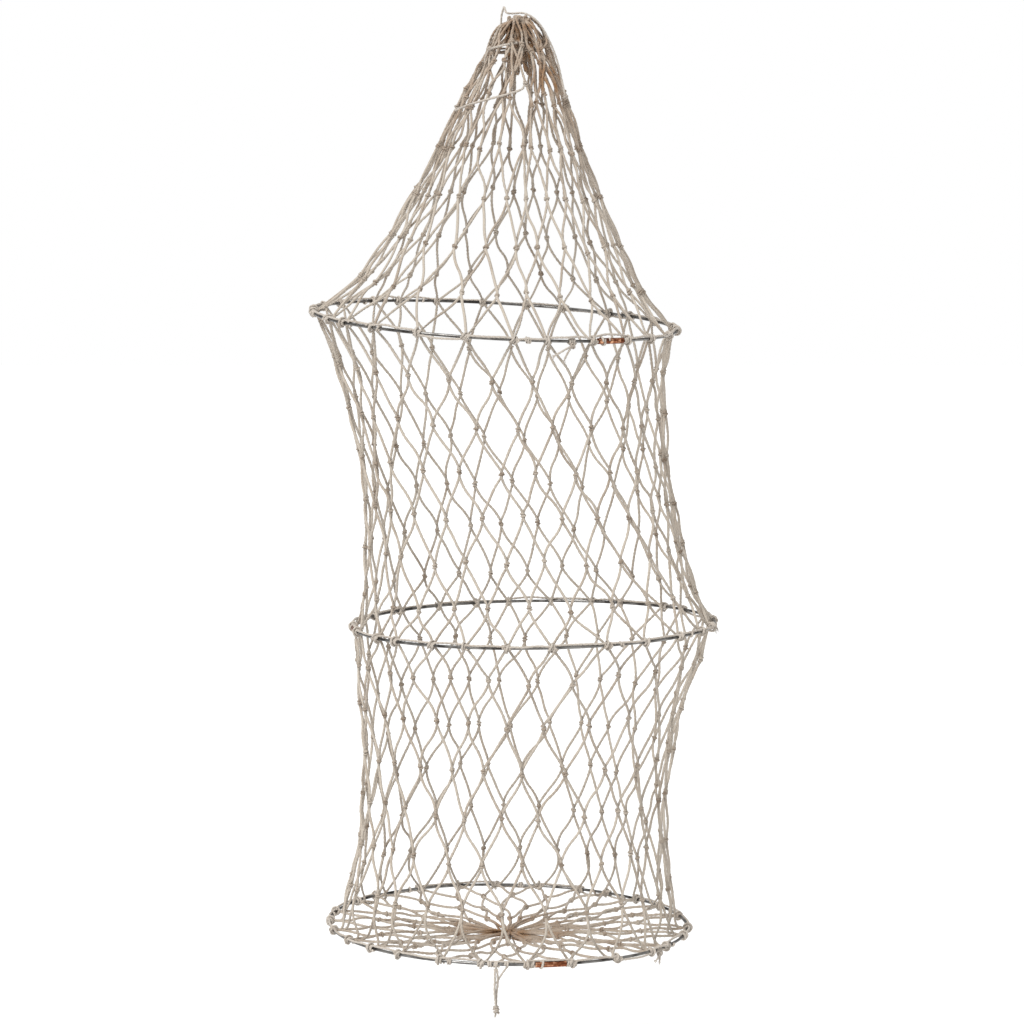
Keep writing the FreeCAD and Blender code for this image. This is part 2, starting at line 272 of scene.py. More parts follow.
def neck_shade_and_browning(tree, place):
    """Browner deep in the neck, where the brown is painted shade of its dim inside; browner too on its
    right flank, and more and more up towards the neck.
    """
    # painted shade: the twine deep inside the neck is darkened towards brown
    inside = nearness(tree, place, Vector((3, 0, -32)) * MM, 14 * MM, 37 * MM)
    flank = nearness(tree, place, Vector((26, -14, -62)) * MM, 0.0, 45 * MM)
    split = node(tree, "ShaderNodeSeparateXYZ", links={"Vector": place})
    all_over = node(
        tree, "ShaderNodeMapRange", {"interpolation_type": "SMOOTHSTEP"},
        {"From Min": -170 * MM, "From Max": -60 * MM, "To Max": 0.32}, {"Value": split.outputs["Z"]},
    ).outputs["Result"]
    browned = combined(tree, "MAXIMUM", inside, flank, all_over)
    return combined(tree, "MULTIPLY", browned, patches(tree, place, 12 * MM, 0.3))


def base_browning(tree, place):
    """The base is browned where its meshes are drawn in, and a little all over from wet ground."""
    away = node(tree, "ShaderNodeVectorMath", {"operation": "DISTANCE"}, links={0: place})
    away.inputs[1].default_value = hoops["bottom"].centre
    near = node(
        tree, "ShaderNodeMapRange",
        inputs={"From Min": 70 * MM, "From Max": 8 * MM, "To Min": 0.08, "To Max": 0.9},
        links={"Value": away.outputs["Value"]},
    ).outputs["Result"]
    return combined(tree, "MULTIPLY", near, patches(tree, place, 20 * MM, 0.45))


def drawn_steel():
    """Drawn steel wire: grey and half bright, darkened in patches where the damp twine lies on it."""
    material, tree, shader, place = new_material("drawn steel wire")
    damp = cloud(tree, place, 12 * MM, 3.0)
    colour = ramp(tree, damp, [(0.35, "#3F3C3A"), (0.65, "#8D8B88")])
    tree.links.new(colour, shader.inputs["Base Color"])
    rough = node(
        tree, "ShaderNodeMapRange", inputs={"To Min": 0.22, "To Max": 0.45}, links={"Value": damp}
    )
    tree.links.new(rough.outputs["Result"], shader.inputs["Roughness"])
    shader.inputs["Metallic"].default_value = 1.0
    return material


def crimped_copper():
    """Copper sleeve, crimped with pliers: tarnished to a dull red-brown, with pale patches of painted
    highlight.
    """
    material, tree, shader, place = new_material("crimped copper")
    tarnish_and_highlight = cloud(tree, place, 4 * MM, 4.0)
    # the palest stop paints highlights into the copper's colour
    colour = ramp(tree, tarnish_and_highlight, [(0.35, "#5E3524"), (0.54, "#8A5238"), (0.68, "#D8A582")])
    tree.links.new(colour, shader.inputs["Base Color"])
    rough = node(
        tree, "ShaderNodeMapRange", inputs={"To Min": 0.45, "To Max": 0.22}, links={"Value": tarnish_and_highlight}
    )
    tree.links.new(rough.outputs["Result"], shader.inputs["Roughness"])
    shader.inputs["Metallic"].default_value = 1.0
    return material


NETTING_TONES = ("#B7ADA0", "#9F9182", "#6E5B4A")
# the brown of the base's browning, and of the painted shade deep in the neck
SHADE_AND_BROWNING_COLOUR = "#8A6238"
NETTING = cotton_twine("undyed spun cotton netting twine", *NETTING_TONES, neck_shade_and_browning)
BASE_NETTING = cotton_twine("spun cotton netting twine of the base", *NETTING_TONES, base_browning)
LASHING = cotton_twine("undyed spun cotton lashing twine", "#BDB4A9", "#A79B8E", "#7C6B5A")
STEEL = drawn_steel()
COPPER = crimped_copper()


# ---- twine ----

TONES = 9                   # how many steps a strand's tone has, from palest to brownest


def ply_profile():
    """The outline of two plies laid together, as a closed curve to sweep."""
    curve = bpy.data.curves.new("two plies", "CURVE")
    outline = curve.splines.new("POLY")
    corners = [(1.0, 0.0), (0.55, 0.68), (-0.55, 0.68), (-1.0, 0.0), (-0.55, -0.68), (0.55, -0.68)]
    outline.points.add(len(corners) - 1)
    for point, (x, y) in zip(outline.points, corners):
        point.co = (x * TWINE_RADIUS, y * TWINE_RADIUS, 0, 1)
    outline.use_cyclic_u = True
    piece = bpy.data.objects.new("two plies", curve)
    bpy.context.scene.collection.objects.link(piece)
    return piece


PLIES = ply_profile()


def jitter(amount):
    """A small seeded error, up to amount either way."""
    return random.uniform(-amount, amount)


def add_strand(curve, points, thickness, tone, step):
    """Lay one smooth strand through control points, its plies turning as it goes."""
    strand = curve.splines.new("NURBS")
    strand.material_index = round(TONES * min(1.0, max(0.0, tone + jitter(0.2))))
    strand.points.add(len(points) - 1)
    run, start = 0.0, random.uniform(0, math.pi)
    for n, (control, place) in enumerate(zip(strand.points, points)):
        if n:
            run += (place - points[n - 1]).length
        control.co = (*place, 1)
        control.radius = thickness
        control.tilt = start + 2 * math.pi * run / PLY_LAY
    strand.order_u = 3
    strand.use_endpoint_u = True
    strand.resolution_u = max(2, round(run / (len(points) - 1) / step))
    strand.use_smooth = True


def twine_piece(name, strands, material, step):
    """A piece made of (control points, thickness, tone) strands of twine."""
    curve = bpy.data.curves.new(name, "CURVE")
    curve.dimensions = "3D"
    curve.twist_mode = "MINIMUM"
    curve.bevel_mode = "OBJECT"
    curve.bevel_object = PLIES
    curve.use_fill_caps = True
    for _ in range(TONES + 1):      # a spline's slot carries its tone over to the mesh
        curve.materials.append(material)
    for points, thickness, tone in strands:
        add_strand(curve, points, thickness, tone, step)
    swept = bpy.data.objects.new(name, curve)
    bpy.context.scene.collection.objects.link(swept)
    bpy.context.view_layer.update()
    mesh = bpy.data.meshes.new_from_object(swept.evaluated_get(bpy.context.evaluated_depsgraph_get()))
    bpy.data.objects.remove(swept)
    bpy.data.curves.remove(curve)
    shape = bmesh.new()
    shape.from_mesh(mesh)
    bmesh.ops.recalc_face_normals(shape, faces=shape.faces)
    for face in shape.faces:
        face.smooth = True
    shape.to_mesh(mesh)
    shape.free()
    tones = np.zeros(len(mesh.polygons), dtype=np.int32)
    mesh.polygons.foreach_get("material_index", tones)
    attribute = mesh.attributes.new("tone", "FLOAT", "FACE")
    attribute.data.foreach_set("value", tones / TONES)
    mesh.polygons.foreach_set("material_index", np.zeros(len(tones), dtype=np.int32))
    mesh.name = name
    mesh.materials.clear()
    mesh.materials.append(material)
    piece = bpy.data.objects.new(name, mesh)
    bpy.context.scene.collection.objects.link(piece)
    return piece


def netting_piece(name, strands, material=NETTING):
    """A piece of the netting."""
    piece = twine_piece(name, strands, material, RING_STEP)
    return piece


def lashing_piece(name, strands):
    """A piece of the paler twine that ties and lashes."""
    piece = twine_piece(name, strands, LASHING, FINE_STEP)
    return piece


def frayed_end(tip, direction, length=4 * MM):
    """The loose fibres at a cut end, fanning out."""
    fibres = 6
    ends = []
    for _ in range(fibres):
        splay = Vector((jitter(1), jitter(1), jitter(1))) * 0.55
        way = (direction.normalized() + splay).normalized()
        reach = length * random.uniform(0.5, 1.0)
        ends.append(([tip, tip + way * reach * 0.5, tip + way * reach + splay * 0.6 * MM], 0.3, 0.1))
    return ends


def barrel_knot(centre, axis, size=1.0):
    """The turns that tie two crossing strands together, pulled down into a small lump, in a darker tone
    that is painted shade.
    """
    side = axis.orthogonal().normalized()
    other = axis.cross(side)
    start = random.uniform(0, 2 * math.pi)
    turns, steps = 1.9, 13
    lean = Vector((jitter(1), jitter(1), jitter(1))) * 1.2 * MM
    points = []
    for n in range(steps):
        share = n / (steps - 1)
        angle = start + 2 * math.pi * turns * share
        reach = 1.75 * MM * size * (0.55 + 0.45 * math.sin(math.pi * share))
        out = side * math.cos(angle) + other * math.sin(angle)
        points.append(centre + out * reach + (axis * 3.1 * MM * size + lean) * (share - 0.5))
    # the tone of 0.55 darkens the knot: painted shade among its turns
    return points, 1.0, 0.55


# ---- netting ----

def hitch_bearings(hoop):
    """Where the meshes are hitched to a hoop: a little uneven, and clear of the sleeve."""
    bearings = []
    for n in range(MESHES_ROUND):
        beside_sleeve = n in (0, MESHES_ROUND - 1)
        uneven = jitter(0.02 * PITCH) if beside_sleeve else jitter(0.22 * PITCH)
        bearings.append(hoop.sleeve + (n + 0.5) * PITCH + uneven)
    return bearings


def by_column(bearings, offset=0.0):
    """Bearings as a function of the column, when hitch n is at column n + offset."""
    def at(column):
        place = column - offset
        whole = math.floor(place)
        before, after = (
            bearings[n % MESHES_ROUND] + (n // MESHES_ROUND) * 2 * math.pi for n in (whole, whole + 1)
        )
        return before + (after - before) * (place - whole)
    return at


def nearest_offset(upper, lower_bearings, half):
    """The column offset, whole or half, that leaves the least twist between two rounds of hitches."""
    plain = by_column(lower_bearings, half)
    return half + round((plain(0) - upper(0)) / PITCH)


def evenly_tied(share):
    """The looseness of a plain wall's knots, which is the same at every share of its height."""
    return 1.0


def straight(share):
    """The bow of a wall that hangs straight."""
    return 0.0


class Wall:
    """A round of netting between two levels, tied in rows that sit half a mesh apart.

    A share is 0 at the top and 1 at the bottom. top_at and bottom_at give a column's bearing
    at each end, and radius_at, wander and bow give the wall's radius, how far its knots lie
    out of line, and how far its axis hangs to the right, each at a share.
    """

    def __init__(self, top, bottom, top_at, bottom_at, radius_at, rows, wander=evenly_tied, bow=straight):
        self.top, self.bottom = top, bottom
        self.top_at, self.bottom_at = top_at, bottom_at
        self.radius_at, self.rows, self.wander, self.bow = radius_at, rows, wander, bow
        self.phases = [random.uniform(0, 2 * math.pi) for _ in range(6)]
        last = len(rows) - 1
        self.knots = {
            (row, column): self.place_knot(row, column, loose=0 < row < last)
            for row in range(last + 1) for column in range(MESHES_ROUND)
        }

    def surface(self, share, bearing, out=0.0):
        """A point on the wall's own surface."""
        radius = self.radius_at(share) + out
        point = self.top.point(bearing, radius).lerp(self.bottom.point(bearing, radius), share)
        return point + Vector((self.bow(share), 0, 0))

    def bearing_at(self, row, column):
        """The bearing of a column in a row: odd rows sit half a mesh round."""
        share, spot = self.rows[row], column + (row % 2) / 2
        return (1 - share) * self.top_at(spot) + share * self.bottom_at(spot)

    def place_knot(self, row, column, loose):
        """Where one knot lies, a little out of line unless it is at an end of the wall."""
        share, bearing = self.rows[row], self.bearing_at(row, column)
        if not loose:
            return self.surface(share, bearing)
        a, b, c, d, e, f = self.phases
        waves = math.sin(2 * bearing + 5 * share + a) + 0.7 * math.sin(3 * bearing - 7 * share + b)
        sway = math.sin(5 * bearing + 4 * share + c) + 0.8 * math.sin(7 * bearing + 9 * share + d)
        lift = math.sin(4 * bearing + e) + 0.8 * math.sin(6 * bearing + 6 * share + f)
        # lift is a share of the height, and sway and waves are in millimetres
        looseness = self.wander(share)
        share += (lift * 0.0045 + jitter(0.009)) * looseness
        bearing += (sway * 0.8 + jitter(1.8)) * MM * looseness / self.radius_at(share)
        return self.surface(share, bearing, (waves * 0.9 + jitter(1.2)) * MM * min(looseness, 1.6))

    def strand(self, column, way):
        """The knots that one strand passes going down: way 1 goes one way round and way -1 the other."""
        passed = []
        for row in range(len(self.rows)):
            spot = column + way * row / 2
            passed.append(self.knots[row, math.floor(spot) % MESHES_ROUND])
        return passed

    def axes(self, knots):
        """At each inner knot of a strand, the way on down the wall and the way out of it."""
        ways = []
        for row, knot in enumerate(knots[1:-1], start=1):
            share = self.rows[row]
            centre = self.top.centre.lerp(self.bottom.centre, share) + Vector((self.bow(share), 0, 0))
            around = self.top.up.cross(knot - centre).normalized()
            on = knots[row + 1] - knots[row - 1]
            down = (on - around * on.dot(around)).normalized()
            ways.append((down, down.cross(around)))
        return ways


def bar_points(start, leaving, end, entering, slack):
    """Two control points along a bar, which turns from the way it leaves to the way it enters."""
    run = end - start
    points = []
    for place, way, onward in ((start, leaving, 1), (end, entering, -1)):
        way = (run.normalized() * 0.88 + way * 0.12).normalized()
        loose = Vector((jitter(1), jitter(1), jitter(1))) * slack
        points.append(place + way * run.length * 0.31 * onward + loose)
    return points


def landing_points(start, down, hitch_place, centre, slack):
    """Two control points of a slack last bar: it drops inside the hoop and swings out to it."""
    inwards = (centre - hitch_place).normalized()
    inwards.z = 0
    length = (hitch_place - start).length
    drop = start + down * length * 0.45
    swing = hitch_place + inwards * length * 0.32 * slack - UP * length * 0.10 * slack
    return [drop.lerp(start.lerp(hitch_place, 0.45), 1 - min(1.0, slack)), swing]


def strand_controls(knots, axes, way, slacks, lead=(), landing=None):
    """Control points of a strand through its knots, which it enters and leaves along their axes."""
    points = [knots[0], *lead]
    leaving = (knots[1] - knots[0]).normalized()
    for n, (knot, (down, out)) in enumerate(zip(knots[1:-1], axes)):
        across = down.cross(out) * way
        depth = out * (0.5 * MM * way)
        enter = knot - down * KNOT_REACH - across * KNOT_SIDE + depth
        leave = knot + down * KNOT_REACH + across * KNOT_SIDE + depth
        if n or not lead:
            points += bar_points(points[-1], leaving, enter, down, slacks[n])
        points += [enter, leave]
        leaving = down
    if landing:
        points += landing_points(points[-1], leaving, knots[-1], landing, random.uniform(0.2, 1.2))
    else:
        last = (knots[-1] - points[-1]).normalized()
        points += bar_points(points[-1], leaving, knots[-1], last, slacks[-1])
    return points + [knots[-1]]


def knot_strands(wall):
    """The knots of a wall, one where each pair of strands crosses."""
    knots = []
    for column in range(MESHES_ROUND):
        passed = wall.strand(column, 1)
        for knot, (down, _) in zip(passed[1:-1], wall.axes(passed)):
            knots.append(barrel_knot(knot, down, random.uniform(0.9, 1.15)))
    return knots


def wall_strands(wall, slack, tone=0.2, landing=None):
    """Every strand and knot of a wall, as twine."""
    strands = []
    for column in range(MESHES_ROUND):
        for way in (1, -1):
            knots = wall.strand(column, way)
            points = strand_controls(knots, wall.axes(knots), way, [slack] * len(knots), landing=landing)
            strands.append((points, WALL_THICKNESS, tone))
    return strands + knot_strands(wall)


bearings = {name: hitch_bearings(hoop) for name, hoop in hoops.items()}
EDGE = 2.6 * MM             # how far inside the wire's middle the netting meets a hoop
KNOT_REACH = 1.3 * MM       # down a strand, from a knot's middle to where the strand leaves it
KNOT_SIDE = 0.7 * MM        # the same across the strand
ROW_SHARE = 0.148           # of a wall's height, from one row of knots to the next
WALL_THICKNESS = 1.18       # of the walls' twine, in TWINE_RADIUS: it has worn soft


def waisted(rim, waist, drop, upper, lower):
    """The radius of a wall that hangs in between two hoops, by up to a waist.

    A drop over 1 puts the waist below the middle. upper and lower say how the wall turns in
    from each hoop: the smaller, the more sharply.
    """
    def radius_at(share):
        swing = max(0.0, math.sin(math.pi * min(1.0, share) ** drop))
        return rim - waist * swing ** (upper + (lower - upper) * share)
    return radius_at


def side_wall(top, bottom, radius_at, rows, bow):
    """A wall between two hoops, with as little twist as its hitches allow."""
    top_at = by_column(bearings[top.name])
    half = (len(rows) - 1) % 2 / 2          # odd rows sit half a mesh round
    offset = nearest_offset(top_at, bearings[bottom.name], half)
    bottom_at = by_column(bearings[bottom.name], offset)

    def bow_at(share):
        return bow * math.sin(math.pi * share)
    return Wall(top, bottom, top_at, bottom_at, radius_at, rows, bow=bow_at)


def upper_netting():
    """The wall between the top and middle hoops."""
    rows = [n * ROW_SHARE for n in range(7)] + [1.0]
    radius_at = waisted(hoops["top"].radius - EDGE, 19.0 * MM, 1.1, 0.65, 0.55)
    wall = side_wall(hoops["top"], hoops["middle"], radius_at, rows, 0.3 * MM)
    piece = netting_piece("upper_netting", wall_strands(wall, 1.8 * MM))
    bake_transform(piece)
    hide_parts("upper_net")


def lower_netting():
    """The wall between the middle and bottom hoops."""
    rows = [0.0] + [1 - n * ROW_SHARE for n in range(6, -1, -1)]
    radius_at = waisted(hoops["middle"].radius - EDGE, 20.5 * MM, 1.15, 1.1, 0.6)
    wall = side_wall(hoops["middle"], hoops["bottom"], radius_at, rows, -4.2 * MM)
    piece = netting_piece("lower_netting", wall_strands(wall, 1.8 * MM, landing=wall.bottom.centre))
    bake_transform(piece)
    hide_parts("lower_net")


# ---- cone and neck ----

neck_low, neck_high = (Vector(corner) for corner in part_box("neck_bundle"))
NECK = Level(Vector((0, 0, neck_high.z)))
NECK_FOOT = neck_low.z
NECK_RADIUS = 28.0 * MM     # of the bundle at its foot


def cone_radius(share):
    """The cone's radius: domed over the neck, then flaring to the top hoop."""
    height = NECK.centre.z + share * (hoops["top"].centre.z - NECK.centre.z)
    if height > NECK_FOOT:
        down = (NECK.centre.z - height) / (NECK.centre.z - NECK_FOOT)
        return NECK_RADIUS * max(0.0, down) ** 0.36
    down = (NECK_FOOT - height) / (NECK_FOOT - hoops["top"].centre.z)
    spread = 84.5 * down + 14.0 * down**2 + 20.5 * down**8
    return NECK_RADIUS + spread * MM


def cone_bow(share):
    """How far the cone's axis hangs to the right of the straight."""
    return 3.2 * MM * max(0.0, math.sin(math.pi * share)) ** 0.7


def even_rows(radius_at, height, count):
    """Shares of the height that cut the slope into equal lengths of netting."""
    steps = 400
    slope = [0.0]
    for n in range(steps):
        rise = radius_at((n + 1) / steps) - radius_at(n / steps)
        slope.append(slope[-1] + math.hypot(rise, height / steps))
    shares = np.linspace(0, 1, steps + 1)
    return [float(np.interp(slope[-1] * n / count, slope, shares)) for n in range(count + 1)]


def cone_looseness(share):
    """How far out of line the cone's knots lie: more and more towards the neck."""
    return 1 + 5.0 * (1 - share) ** 4


def neck_leg(wall, crown, knot, slack, sunk):
    """Control points down the neck's dome to a first-row knot, standing proud or sunk midway."""
    start, end = NECK.bearing(crown), NECK.bearing(knot)
    turn = (end - start + math.pi) % (2 * math.pi) - math.pi
    points = []
    for share in (0.22, 0.5, 0.8):
        down = wall.rows[1] * share
        proud = slack * math.sin(math.pi * share) ** 0.5 - sunk * math.sin(math.pi * share)
        points.append(wall.surface(down, start + turn * share + jitter(0.14), proud))
    return points


def slacken_right_flank(wall):
    """Let some columns of the cone hang out on its right flank, and say how far each does."""
    slacks = []
    for column in range(MESHES_ROUND):
        bearing = wall.bearing_at(0, column)
        right_flank = max(0.0, math.cos(bearing - 0.1)) ** 3
        slacks.append(right_flank * random.choice((0.0, 0.0, 3.0, 5.0)) * MM)
        for row, share in ((1, 0.9), (2, 0.35)):
            outwards = (wall.knots[row, column] - NECK.centre).normalized()
            outwards.z = 0
            wall.knots[row, column] += outwards * slacks[column] * share
    return slacks


def cone_netting():
    """The cone and the gathered neck: each strand runs up from the hoop, over, and down again."""
    hoop = hoops["top"]
    rows = even_rows(cone_radius, NECK.centre.z - hoop.centre.z, 7)
    hoop_at = by_column(bearings["top"], 0.5)
    wall = Wall(NECK, hoop, hoop_at, hoop_at, cone_radius, rows, cone_looseness, cone_bow)
    slacks = slacken_right_flank(wall)
    bar_slacks = [(1.8 + 2.0 * (1 - share) ** 3) * MM for share in rows]
    strands = []
    for column in range(MESHES_ROUND):
        bearing = wall.bearing_at(0, column) + jitter(0.4 * PITCH)
        slack = slacks[column]
        from_axis = random.uniform(1.0, 13.0) * MM
        crown = NECK.point(bearing, from_axis, random.uniform(-4.0, 0.0) * MM + slack / 2)
        wall.knots[0, column] = crown
        legs = []
        for way in (1, -1):
            knots = wall.strand(column, way)
            sunk = 0.0 if slack else random.choice((0.0, 2.0, 6.0, 10.0, 15.0)) * MM
            lead = neck_leg(wall, crown, knots[1], slack, sunk)
            legs.append(strand_controls(knots, wall.axes(knots), way, bar_slacks, lead))
        round_way = NECK.up.cross(crown - NECK.centre).normalized()
        spread = round_way * random.uniform(1.0, 2.4) * MM
        over = [crown - spread, crown + NECK.up * MM, crown + spread]
        strands.append((list(reversed(legs[1][1:])) + over + legs[0][1:], 1.12, 0.0 if slack else 0.25))
    strands += knot_strands(wall)
    piece = netting_piece("cone_netting", strands)
    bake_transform(piece)
    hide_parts("cone_net", "neck_bundle")
    loose_strand_ends([point for points, _, _ in strands for point in points])


def loose_strand_ends(netting):
    """The loose strand's two ends: each runs on to the nearest netting strand and round it."""
    strands = []
    for place, before in ((0, 1), (-1, -2)):
        end = Vector(LOOSE_STRAND_ROUTE[place])
        way = (end - Vector(LOOSE_STRAND_ROUTE[before])).normalized()
        knot = min(netting, key=lambda at: (at - end - way * 9 * MM).length)
        strands.append(([end - way * 1.5 * MM, end + way * 3 * MM, end.lerp(knot, 0.7), knot], 1.0, 0.0))
        strands.append(barrel_knot(knot, UP))
    piece = lashing_piece("loose_strand_ends", strands)
    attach(piece, "neck")


def tucked_mouth():
    """The slack of the netting's mouth, tucked down inside the neck before it is tied."""
    strands = []
    for _ in range(MESHES_ROUND):
        bearing = random.uniform(0, 2 * math.pi)
        over = NECK.point(bearing, random.uniform(3, 12) * MM, random.uniform(-7, -3) * MM)
        low = NECK.point(bearing + jitter(0.9), random.uniform(3, 18) * MM, -random.uniform(18, 48) * MM)
        back = NECK.point(bearing + jitter(1.4), random.uniform(4, 14) * MM, random.uniform(-9, -4) * MM)
        bulge = Vector((jitter(3), jitter(3), 0)) * MM
        turn = Vector((jitter(2), jitter(2), 0)) * MM
        going_down = [over, over.lerp(low, 0.5) + bulge, low - turn]
        coming_back = [low + turn, low.lerp(back, 0.5) - bulge, back]
        strands.append((going_down + coming_back, 1.1, 0.25))
    piece = netting_piece("tucked_mouth", strands)
    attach(piece, "neck")


def neck_tie():
    """Two turns sunk among the neck's strands, with one slack stretch and the knot outside."""
    height = middle_of("neck_tie").z - NECK.centre.z
    start = NECK.bearing(middle_of("neck_tie_knot"))
    turns, steps = 2.1, 40
    points = []
    for n in range(steps):
        share = n / (steps - 1)
        lift = height + (share - 0.5) * 5 * MM + math.sin(11 * share) * 1.6 * MM
        points.append(NECK.point(start + 2 * math.pi * turns * share, NECK_RADIUS - 11 * MM, lift))
    at = NECK.point(start, NECK_RADIUS + 0.6 * MM, height)
    out = (at - NECK.centre).normalized()
    outside = ((0.0, 0.6, 0), (0.22, 1.0, 1.4), (0.48, 0.8, 2.6), (0.72, -0.6, 4.0), (0.9, -8, 5.0))
    stretch = [
        NECK.point(start + turn, NECK_RADIUS + proud * MM, height + rise * MM)
        for turn, proud, rise in outside
    ]
    strands = [(points, 0.9, 0.9), (stretch, 1.0, 0.0)]
    strands += [barrel_knot(at, UP, 1.1), barrel_knot(at, out)]
    for way in (-1, 1):
        tip = at + Vector((way * 3.5, -3, -9)) * MM
        strands.append(([at, at.lerp(tip, 0.5) + Vector((way * 1.6, -1.5, 0)) * MM, tip], 0.9, 0.1))
        strands += frayed_end(tip, tip - at)
    piece = lashing_piece("neck_tie_twine", strands)
    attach(piece, "neck")
    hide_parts("neck_tie", "neck_tie_knot")


def hang_loop():
    """The peaked loop of twine that stands on the neck, and the slack end that it runs out to."""
    low, high = (Vector(corner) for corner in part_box("hang_loop"))
    middle = (low + high) / 2
    tip = Vector((middle.x, middle.y, high.z - 0.6 * MM))
    feet = [Vector((low.x, high.y, low.z)), Vector((high.x, low.y, low.z))]
    feet = [foot.lerp(Vector((middle.x, middle.y, low.z)), 0.25) for foot in feet]
    points = [feet[0] - NECK.up * 16 * MM, feet[0], tip.lerp(feet[0], 0.35), tip, tip.lerp(feet[1], 0.35)]
    points += [feet[1].lerp(tip, 0.3)] + [Vector(place) * MM for place in SLACK_END]
    onward = (points[-1] - points[-2]).normalized()
    strands = [(points, 0.9, 0.0), barrel_knot(points[-1], onward, 1.1)]
    piece = lashing_piece("hang_loop_twine", strands)
    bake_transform(piece)
    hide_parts("hang_loop")


# ---- base ----

GATHER_SAG = 9.0 * MM


def base_netting():
    """The base, from the bottom hoop in to the gather at its middle."""
    hoop = hoops["bottom"]
    gather = Level(hoop.centre - hoop.up * GATHER_SAG)
    hitches = by_column(bearings["bottom"])
    rim, middle = hoop.radius - EDGE, 3.5 * MM
    rows = [0.0, 0.24, 0.47, 0.70, 1.0]
    last = len(rows) - 1
    wall = Wall(hoop, gather, hitches, hitches, lambda share: rim + (middle - rim) * share,
                rows, wander=lambda share: 1.6)
    for column in range(MESHES_ROUND):
        bearing = wall.bearing_at(last, column)
        wall.knots[last, column] = gather.point(bearing, random.uniform(1.0, 6.5) * MM, jitter(2.5 * MM))
    piece = netting_piece("base_netting", wall_strands(wall, 2.2 * MM, tone=0.3), BASE_NETTING)
    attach(piece, "bottom_hoop")
    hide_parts("base_net")


def base_gather():
    """The cord that draws the base in, with the short knotted ends below it."""
    hoop = hoops["bottom"]
    gather = Level(hoop.centre - hoop.up * GATHER_SAG)
    turns, steps = 2.4, 24
    points = []
    for n in range(steps):
        share = n / (steps - 1)
        beside = 5.2 * MM + jitter(0.3 * MM)
        points.append(gather.point(2 * math.pi * turns * share, beside, (share - 0.6) * 3.2 * MM))
    knot = gather.point(-1.2, 5.5 * MM, -2.2 * MM)
    strands = [(points, 1.0, 0.5), barrel_knot(knot, gather.across, 1.1)]
    for way in (-1, 1):
        tip = knot + Vector((way * 3.0, -2.5, -4.5)) * MM
        strands.append(([knot, knot.lerp(tip, 0.5) + gather.across * way * MM, tip], 0.9, 0.3))
        strands += frayed_end(tip, tip - knot, length=2.5 * MM)
    piece = lashing_piece("base_draw_twine", strands)
    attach(piece, "bottom_hoop")
    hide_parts("base_draw_cord", "base_draw_knot")


# ---- lashings ----

TURN_REACH = 0.75 * MM      # of a turn's middle outside what it is wound on
TURN_PITCH = 1.8 * MM       # along the wire, from one turn of a hitch to the next
SLEEVE_WALL = 1.1 * MM      # how far a sleeve's outside lies beyond the wire's
BESIDE_SLEEVE = 0.006       # radians, from a sleeve's end to the middle of the hitch beside it
ABOVE_SLEEVE = 1.5          # the angle round the wire at which the runner passes a sleeve
KNOT_ENDS = {"top": 1.7, "middle": 1.0, "bottom": 0.8}      # how long each hoop's cut ends are


def hitch(hoop, bearing, turns, over=0.0):
    """Turns of twine wound tight round the wire, or round something thicker on it."""
    steps = max(8, round(turns * 9))
    start = random.uniform(0, 2 * math.pi)
    reach = max(hoop.wire, over) + TURN_REACH
    pitch_angle = TURN_PITCH / hoop.radius
    lean = jitter(0.45) * pitch_angle
    points = []
    for n in range(steps):
        angle = start + 2 * math.pi * turns * n / (steps - 1)
        along = bearing + pitch_angle * (turns * (n / (steps - 1) - 0.5)) + lean * math.sin(angle)
        points.append(hoop.round_wire(along, angle, reach + jitter(0.3 * MM)))
    return points, 1.05, 0.15


def cross_turn(hoop, bearing):
    """The strand that locks a hitch: a loose turn over it, laid slantwise."""
    half = random.uniform(2.4, 4.2) * MM / hoop.radius
    start = random.choice((-0.9, -0.3, 0.4, math.pi))
    steps = 9
    points = []
    for n in range(steps):
        share = n / (steps - 1)
        reach = hoop.wire + (1.6 + 1.4 * math.sin(math.pi * share)) * MM
        along = bearing + half * (2 * share - 1) + half * 0.5 * math.sin(2 * math.pi * share)
        points.append(hoop.round_wire(along, start + 2 * math.pi * 1.15 * share, reach + jitter(0.3 * MM)))
    return points, 1.0, 0.1


def runner_stretch(hoop, start, end, over=0.0):
    """The lashing between two hitches: close along the wire, and slack in places."""
    side = random.choice((0.5, 0.9, 1.2, 1.5, 1.8, 1.1, -0.8, -1.3))
    if over:
        side = ABOVE_SLEEVE
    slack = random.choice((0.0, 0.2, 0.5, 0.9, 1.6, 2.6)) * MM
    reach = max(hoop.wire, over) + TURN_REACH
    points = []
    for share in (0.0, 0.12, 0.38, 0.64, 0.88, 1.0):
        away = reach + slack * math.sin(math.pi * share)
        points.append(hoop.round_wire(start + (end - start) * share, side + jitter(0.35), away))
    return points, 1.0, 0.1


